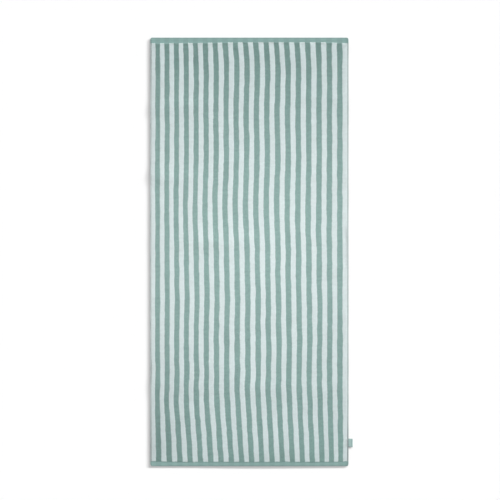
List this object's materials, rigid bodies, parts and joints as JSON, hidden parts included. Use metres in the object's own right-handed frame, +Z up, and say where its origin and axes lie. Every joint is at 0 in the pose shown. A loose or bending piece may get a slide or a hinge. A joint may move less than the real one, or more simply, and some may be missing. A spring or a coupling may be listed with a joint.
{
  "type": "beach towel",
  "caption": "Flat rectangular terry towel with narrow lengthwise stripes, a plain hem at each end and a small folded tab on one long side.",
  "frame": {"origin": "the middle of the surface under the whole object, tab included", "axes": "+Y along the towel, away from the end that the tab is near; +X across it, towards the side with the tab; +Z up from the surface it lies on"},
  "size_m": [0.85, 1.8, 0.0077],
  "materials": {
    "striped_terry": "matt looped cotton in pale and grey-green lengthwise stripes, with a plain grey-green flat hem at each end",
    "woven_ribbon": "fine satin-woven ribbon, grey-green, with a soft sheen and no lettering"
  },
  "bodies": {
    "root": {"towel": "striped_terry", "side_tab": "woven_ribbon"}
  },
  "joints": []
}
